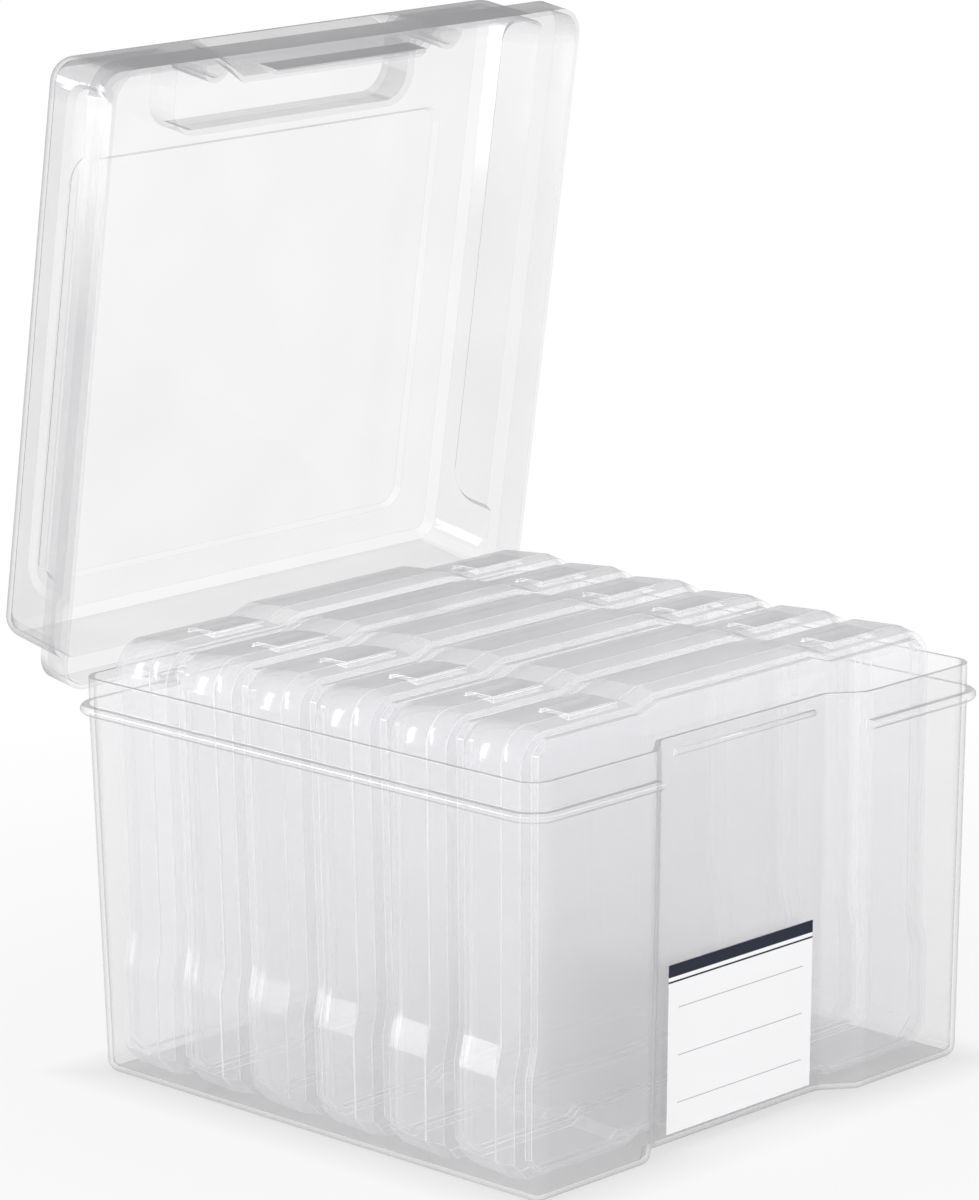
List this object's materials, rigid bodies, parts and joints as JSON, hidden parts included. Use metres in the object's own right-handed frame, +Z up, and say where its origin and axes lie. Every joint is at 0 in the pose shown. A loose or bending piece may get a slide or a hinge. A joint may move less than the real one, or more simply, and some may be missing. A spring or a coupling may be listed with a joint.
{
  "type": "photo keeper case",
  "caption": "Clear carrying case with a deep hinged lid, shown open, holding slim clear photo boxes that stand on edge and lift out.",
  "frame": {"origin": "centre of the tub's underside, on the surface it stands on", "axes": "+Z up; -Y towards the front with the recess and the label; the lid's hinge runs along X at the back"},
  "size_m": [0.214, 0.2505, 0.3347],
  "materials": {
    "clear_shell": "clear, slightly milky polypropylene",
    "clear_box": "clear, slightly milky polypropylene",
    "card": "matt coated card"
  },
  "bodies": {
    "tub": {"tub": "clear_shell", "label_card": "card"},
    "lid": {"lid": "clear_shell"},
    "photo_box_1": {"case_base_1": "clear_box", "case_cover_1": "clear_box"},
    "photo_box_2": {"case_base_2": "clear_box", "case_cover_2": "clear_box"},
    "photo_box_3": {"case_base_3": "clear_box", "case_cover_3": "clear_box"},
    "photo_box_4": {"case_base_4": "clear_box", "case_cover_4": "clear_box"},
    "photo_box_5": {"case_base_5": "clear_box", "case_cover_5": "clear_box"},
    "photo_box_6": {"case_base_6": "clear_box", "case_cover_6": "clear_box"}
  },
  "joints": [
    {"name": "lid_hinge", "type": "hinge", "parent": "tub", "child": "lid", "pos_m": [0, 0.1072, 0.1241], "axis": [-1, 0, 0], "range_deg": [-80.6, 0]},
    {"name": "photo_box_1_lift", "type": "slide", "parent": "tub", "child": "photo_box_1", "axis": [0, -0.0157, 0.9999], "range_m": [0, 0.16]},
    {"name": "photo_box_2_lift", "type": "slide", "parent": "tub", "child": "photo_box_2", "axis": [0, -0.0035, 1], "range_m": [0, 0.16]},
    {"name": "photo_box_3_lift", "type": "slide", "parent": "tub", "child": "photo_box_3", "axis": [0, 0.0122, 0.9999], "range_m": [0, 0.16]},
    {"name": "photo_box_4_lift", "type": "slide", "parent": "tub", "child": "photo_box_4", "axis": [0, 0.0192, 0.9998], "range_m": [0, 0.16]},
    {"name": "photo_box_5_lift", "type": "slide", "parent": "tub", "child": "photo_box_5", "axis": [0, 0.0227, 0.9997], "range_m": [0, 0.16]},
    {"name": "photo_box_6_lift", "type": "slide", "parent": "tub", "child": "photo_box_6", "axis": [0, 0.0192, 0.9998], "range_m": [0, 0.16]}
  ]
}
